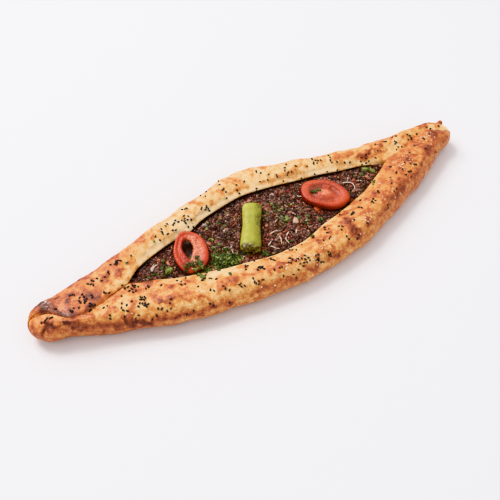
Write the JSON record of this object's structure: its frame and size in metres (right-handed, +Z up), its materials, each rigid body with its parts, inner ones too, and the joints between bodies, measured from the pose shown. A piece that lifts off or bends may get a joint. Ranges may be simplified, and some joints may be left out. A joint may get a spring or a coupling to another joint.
{
  "type": "minced meat pide",
  "caption": "Boat-shaped flatbread folded over a minced meat filling, pinched shut at both ends, with tomato slices, green pepper, parsley and seeds.",
  "frame": {"origin": "on the surface the pide lies on, under the middle of its outer box", "axes": "+X along the pide towards the end whose near flap laps over, +Y across it away from the viewer, +Z up"},
  "size_m": [0.478, 0.1472, 0.0282],
  "materials": {
    "baked_dough": "matte",
    "minced_meat": "crumbly, slightly greasy",
    "tomato": "moist",
    "green_pepper": "glossy skin",
    "parsley": "matte"
  },
  "bodies": {
    "root": {"crust": "baked_dough", "filling": "minced_meat", "tomato_ring": "tomato", "tomato_slice": "tomato", "pepper_piece": "green_pepper", "parsley_heap": "parsley"}
  },
  "joints": []
}
